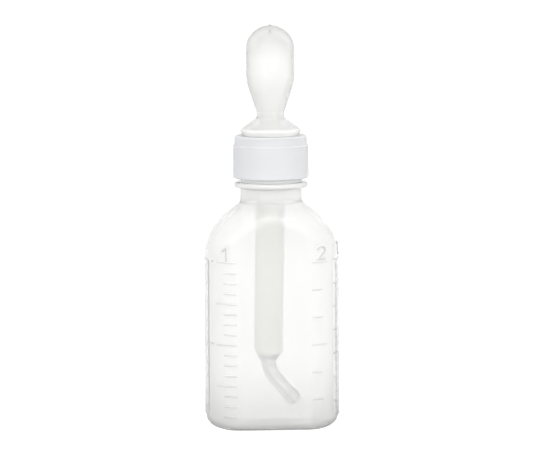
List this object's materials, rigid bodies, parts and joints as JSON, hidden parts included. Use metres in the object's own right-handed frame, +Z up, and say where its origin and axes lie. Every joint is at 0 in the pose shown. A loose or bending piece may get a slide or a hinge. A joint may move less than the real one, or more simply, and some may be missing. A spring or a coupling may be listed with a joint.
{
  "type": "dropper feeding bottle",
  "caption": "Translucent flat-sided feeding bottle with moulded scales, a white screw cap and a squeeze-bulb dropper whose bent tube ends in a ball tip.",
  "frame": {"origin": "centre of the base, on the plane that the bottle stands on", "axes": "+Z up along the bottle's axis, +X to the side that the dropper's tip points to, the front face with numerals 1 and 2 towards -Y"},
  "size_m": [0.0425, 0.0308, 0.1264],
  "materials": {
    "bottle_plastic": "clear to milky blown polyethylene, smooth and slightly glossy",
    "cap_plastic": "white moulded polypropylene, satin",
    "bulb_rubber": "clear soft elastomer, faintly warm, glossy",
    "tube_plastic": "milky moulded polyethylene, smooth"
  },
  "bodies": {
    "bottle": {"bottle": "bottle_plastic"},
    "dropper": {"pipette": "tube_plastic"},
    "cap": {"screw_cap": "cap_plastic"},
    "bulb": {"bulb": "bulb_rubber"}
  },
  "joints": [
    {"name": "dropper_lift", "type": "slide", "parent": "bottle", "child": "dropper", "axis": [0, 0, 1], "range_m": [0, 0.00525]},
    {"name": "cap_turn", "type": "hinge", "parent": "dropper", "child": "cap", "pos_m": [0, 0, 0.085], "axis": [0, 0, 1], "range_deg": [0, 630]},
    {"name": "bulb_squeeze", "type": "slide", "parent": "dropper", "child": "bulb", "axis": [0, 1, 0], "range_m": [0, 0.0045], "stiffness_N_per_m": 800, "deforming": ["bulb"]}
  ],
  "couplings": [
    {"joint": "cap_turn", "follows": "dropper_lift", "rad_per_m": 2094.4}
  ]
}
